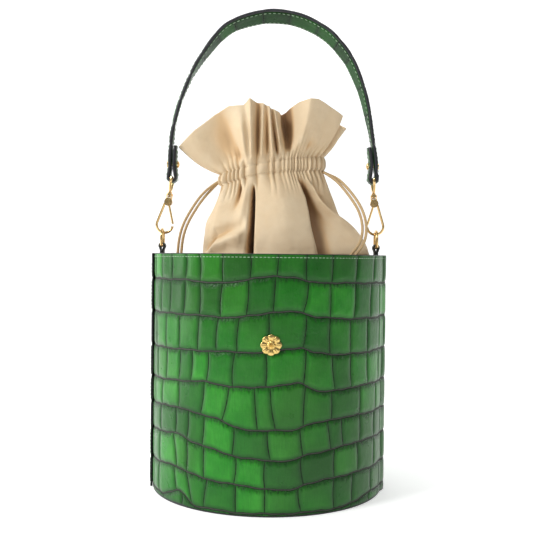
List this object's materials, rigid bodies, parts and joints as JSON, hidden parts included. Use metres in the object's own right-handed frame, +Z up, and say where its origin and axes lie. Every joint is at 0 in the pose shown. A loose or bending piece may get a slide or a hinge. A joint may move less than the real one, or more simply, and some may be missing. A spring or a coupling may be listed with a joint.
{
  "type": "bucket bag",
  "caption": "Cylindrical leather bucket bag with a gathered drawstring cloth pouch and an arched strap handle clipped to rings at the rim.",
  "frame": {"origin": "middle of the base, on the surface the bag stands on", "axes": "+Z up, the front with the ornament faces -Y, the two clip chains lie on the X axis with the left one at -X"},
  "size_m": [0.203, 0.2006, 0.4119],
  "materials": {
    "embossed_leather": "glossy, embossed in large scales with dark grooves",
    "strap_leather": "glossy embossed leather with black painted edges",
    "black_leather": "smooth satin, painted edge",
    "board": "matte fibre board",
    "lining": "matte microfibre",
    "pouch_cloth": "soft cotton satin, faint sheen",
    "drawstring": "round waxed cord, satin",
    "gold_metal": "polished gold plate",
    "spring_steel": "bright wire"
  },
  "bodies": {
    "bag": {"wall_front": "embossed_leather", "wall_back": "embossed_leather", "base_leather": "black_leather", "base_board": "board", "base_lining": "lining", "wall_lining": "lining", "ornament": "gold_metal", "tab_left": "black_leather", "tab_right": "black_leather", "pouch": "pouch_cloth", "drawstring_left_front": "drawstring", "drawstring_left_back": "drawstring", "drawstring_knot_left": "drawstring", "drawstring_right_front": "drawstring", "drawstring_right_back": "drawstring", "drawstring_knot_right": "drawstring"},
    "ring_left": {"d_ring_left": "gold_metal"},
    "ring_right": {"d_ring_right": "gold_metal"},
    "handle": {"handle_strap": "strap_leather", "stud_left": "gold_metal", "stud_right": "gold_metal", "stud_washer_left": "gold_metal", "stud_washer_right": "gold_metal"},
    "eye_left": {"swivel_eye_left": "gold_metal"},
    "eye_right": {"swivel_eye_right": "gold_metal"},
    "hook_left": {"hook_frame_left": "gold_metal", "gate_pin_left": "gold_metal", "gate_spring_left": "spring_steel"},
    "hook_right": {"hook_frame_right": "gold_metal", "gate_pin_right": "gold_metal", "gate_spring_right": "spring_steel"},
    "gate_left": {"hook_gate_left": "gold_metal"},
    "gate_right": {"hook_gate_right": "gold_metal"}
  },
  "joints": [
    {"name": "handle_swing", "type": "hinge", "parent": "bag", "child": "handle", "pos_m": [0, 0, 0.2135], "axis": [1, 0, 0], "range_deg": [-90, 90]},
    {"name": "eye_tilt_left", "type": "hinge", "parent": "handle", "child": "eye_left", "pos_m": [-0.08501, 0, 0.26585], "axis": [0, 1, 0], "range_deg": [-1.6, 1.6]},
    {"name": "eye_tilt_right", "type": "hinge", "parent": "handle", "child": "eye_right", "pos_m": [0.09006, 0, 0.2664], "axis": [0, 1, 0], "range_deg": [-2, 2]},
    {"name": "hook_swivel_left", "type": "hinge", "parent": "eye_left", "child": "hook_left", "pos_m": [-0.0933, 0, 0.2135], "axis": [0.1564, 0, 0.9877], "range_deg": [-25, 25]},
    {"name": "hook_swivel_right", "type": "hinge", "parent": "eye_right", "child": "hook_right", "pos_m": [0.0933, 0, 0.2135], "axis": [-0.061, 0, 0.9981], "range_deg": [-25, 25]},
    {"name": "gate_left", "type": "hinge", "parent": "hook_left", "child": "gate_left", "pos_m": [-0.08834, 0, 0.24481], "axis": [0, 1, 0], "range_deg": [0, 22], "stiffness_Nm_per_rad": 0.004, "springref_deg": -11.46},
    {"name": "gate_right", "type": "hinge", "parent": "hook_right", "child": "gate_right", "pos_m": [0.09136, 0, 0.24514], "axis": [0, -1, 0], "range_deg": [0, 22], "stiffness_Nm_per_rad": 0.004, "springref_deg": -11.46},
    {"name": "ring_tilt_left", "type": "hinge", "parent": "bag", "child": "ring_left", "pos_m": [-0.0933, 0, 0.2065], "axis": [0, 1, 0], "range_deg": [-10, 10]},
    {"name": "ring_tilt_right", "type": "hinge", "parent": "bag", "child": "ring_right", "pos_m": [0.0933, 0, 0.2065], "axis": [0, 1, 0], "range_deg": [-10, 10]}
  ],
  "couplings": [
    {"joint": "ring_tilt_left", "follows": "eye_tilt_left", "ratio": -3.14},
    {"joint": "ring_tilt_right", "follows": "eye_tilt_right", "ratio": -3.14}
  ]
}
